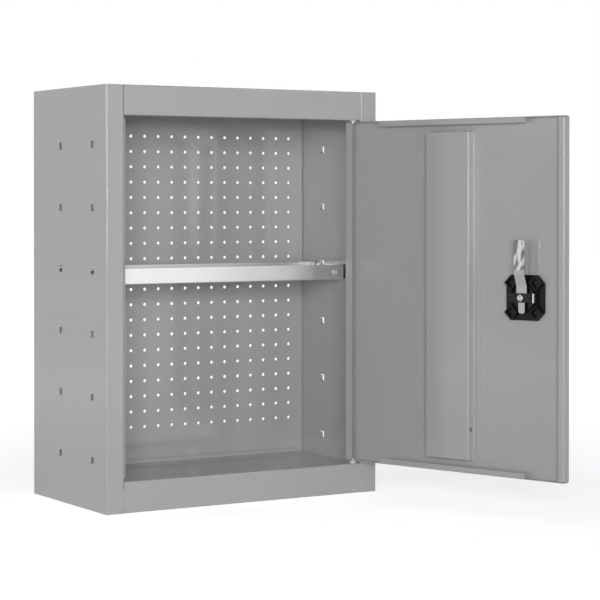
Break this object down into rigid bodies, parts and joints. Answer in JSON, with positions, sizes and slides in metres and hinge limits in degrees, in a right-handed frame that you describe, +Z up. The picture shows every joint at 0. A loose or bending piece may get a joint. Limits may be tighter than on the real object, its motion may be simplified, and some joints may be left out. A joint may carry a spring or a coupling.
{
  "type": "tool cabinet",
  "caption": "Small wall or bench tool cabinet of folded sheet steel with a hinged lockable door, a perforated back for tool hooks and a lift-out tray shelf.",
  "frame": {"origin": "on the floor, at mid-width, in the middle of the front foot flange's underside", "axes": "+X to the right seen from the front, +Y to the wall behind, +Z up"},
  "size_m": [0.5791, 0.6541, 0.646],
  "materials": {
    "grey_paint": "semi-gloss grey powder coat on folded sheet steel",
    "galvanised": "hot-dip galvanised sheet with a fine spangle",
    "zinc": "bright zinc plate",
    "dark_steel": "blackened steel with a bare cut end",
    "nylon": "natural moulded nylon",
    "black_plastic": "moulded, fine grain",
    "chrome": "polished plate"
  },
  "bodies": {
    "cabinet": {"left_side_panel": "grey_paint", "right_side_panel": "grey_paint", "top_panel": "grey_paint", "bottom_panel": "grey_paint", "back_panel": "grey_paint", "top_hinge_plate": "grey_paint", "bottom_hinge_plate": "grey_paint", "top_hinge_bush": "nylon", "bottom_hinge_bush": "nylon"},
    "door": {"door_skin": "grey_paint", "door_stiffener": "grey_paint", "top_hinge_pin": "zinc", "bottom_hinge_pin": "zinc", "lock_housing": "black_plastic", "lock_escutcheon": "black_plastic", "lock_nut": "dark_steel"},
    "lock": {"lock_handle": "black_plastic", "lock_sleeve": "chrome", "lock_spindle": "zinc", "cam_tongue": "zinc", "cam_crossbar": "dark_steel", "cam_washer": "zinc", "cam_screw": "zinc"},
    "key": {"key_barrel": "chrome"},
    "shelf": {"shelf": "galvanised", "left_shelf_bracket": "dark_steel", "right_shelf_bracket": "dark_steel"}
  },
  "joints": [
    {"name": "door_swing", "type": "hinge", "parent": "cabinet", "child": "door", "pos_m": [0.2015, -0.0055, 0.3], "axis": [0, 0, 1], "range_deg": [-107.4, 14]},
    {"name": "lock_turn", "type": "hinge", "parent": "door", "child": "lock", "pos_m": [0.30797, -0.32351, 0.32525], "axis": [0.9542, 0.299, 0], "range_deg": [0, 90]},
    {"name": "key_turn", "type": "hinge", "parent": "lock", "child": "key", "pos_m": [0.30797, -0.32351, 0.32525], "axis": [0.9542, 0.299, 0], "range_deg": [0, 90]},
    {"name": "shelf_lift", "type": "slide", "parent": "cabinet", "child": "shelf", "axis": [0, 0, 1], "range_m": [0, 0.009]}
  ]
}
